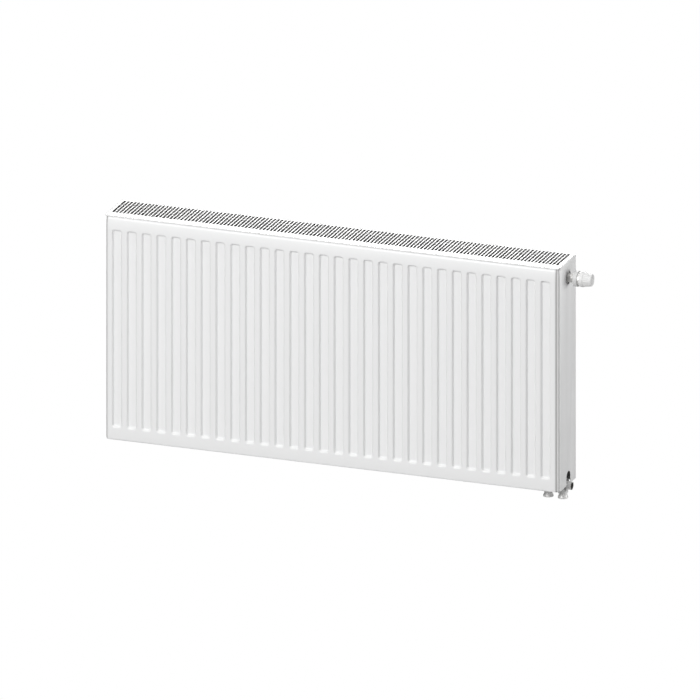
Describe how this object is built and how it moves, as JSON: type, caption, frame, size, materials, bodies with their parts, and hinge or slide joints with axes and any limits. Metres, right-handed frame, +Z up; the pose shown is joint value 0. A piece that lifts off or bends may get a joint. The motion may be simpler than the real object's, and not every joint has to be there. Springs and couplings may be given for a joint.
{
  "type": "panel radiator",
  "caption": "Wall-hung double-panel steel radiator with fluted front, slotted top grille, side covers, built-in valve under a turning cap, bleed valve and bottom pipe stubs.",
  "frame": {"origin": "centre of the rear faces of the four hanging lugs, which bear on the wall brackets, half way up the radiator", "axes": "+X to the right seen from the room, towards the valve end; +Y towards the wall; +Z up"},
  "size_m": [1.09, 0.117, 0.531],
  "materials": {
    "panel_paint": "white powder coat, satin",
    "cover_paint": "white powder coat, satin",
    "fin_paint": "thin white coat over primer, matt",
    "hub_paint": "thin white coat over primer, matt",
    "plated_steel": "nickel plated",
    "valve_body": "nickel-plated brass",
    "cap_plastic": "moulded, semi-gloss",
    "spindle_steel": "ground",
    "spring_steel": "drawn wire and strip",
    "brass": "turned",
    "seal_rubber": "matt"
  },
  "bodies": {
    "radiator": {"front_panel_outer_sheet": "panel_paint", "front_panel_inner_sheet": "panel_paint", "rear_panel_inner_sheet": "panel_paint", "rear_panel_outer_sheet": "panel_paint", "front_convector_fins": "fin_paint", "rear_convector_fins": "fin_paint", "left_side_cover": "cover_paint", "right_side_cover": "cover_paint", "top_left_hub": "hub_paint", "bottom_left_hub": "hub_paint", "bottom_right_hub": "hub_paint", "return_tee": "hub_paint", "valve_housing": "hub_paint", "riser_pipe": "hub_paint", "supply_stub": "plated_steel", "return_stub": "plated_steel", "valve_insert": "valve_body", "valve_collar": "cap_plastic", "valve_insert_seal": "seal_rubber", "valve_spring": "spring_steel", "blind_plug": "plated_steel", "drain_plug": "brass", "vent_plug": "plated_steel", "vent_plug_gasket": "seal_rubber", "blind_plug_gasket": "seal_rubber", "upper_left_lug": "panel_paint", "upper_right_lug": "panel_paint", "lower_left_lug": "panel_paint", "lower_right_lug": "panel_paint"},
    "grille": {"top_grille": "cover_paint", "grille_clips": "spring_steel"},
    "cap": {"valve_cap": "cap_plastic"},
    "spindle": {"valve_spindle": "spindle_steel", "valve_disc": "seal_rubber"},
    "bleed_screw": {"vent_screw": "brass"},
    "bleed_nozzle": {"vent_nozzle": "cap_plastic"}
  },
  "joints": [
    {"name": "grille_lift", "type": "slide", "parent": "radiator", "child": "grille", "axis": [0, 0, 1], "range_m": [0, 0.06]},
    {"name": "cap_turn", "type": "hinge", "parent": "radiator", "child": "cap", "pos_m": [0.55, -0.0535, 0.212], "axis": [1, 0, 0], "range_deg": [-480, 0]},
    {"name": "spindle_press", "type": "slide", "parent": "radiator", "child": "spindle", "axis": [-1, 0, 0], "range_m": [0, 0.002]},
    {"name": "bleed_screw_turn", "type": "hinge", "parent": "radiator", "child": "bleed_screw", "pos_m": [-0.51, -0.0535, 0.212], "axis": [-1, 0, 0], "range_deg": [0, 360]},
    {"name": "bleed_nozzle_swivel", "type": "hinge", "parent": "radiator", "child": "bleed_nozzle", "pos_m": [-0.516, -0.0535, 0.212], "axis": [-1, 0, 0], "continuous": true}
  ],
  "couplings": [
    {"joint": "spindle_press", "follows": "cap_turn", "m_per_rad": -0.00023873}
  ]
}
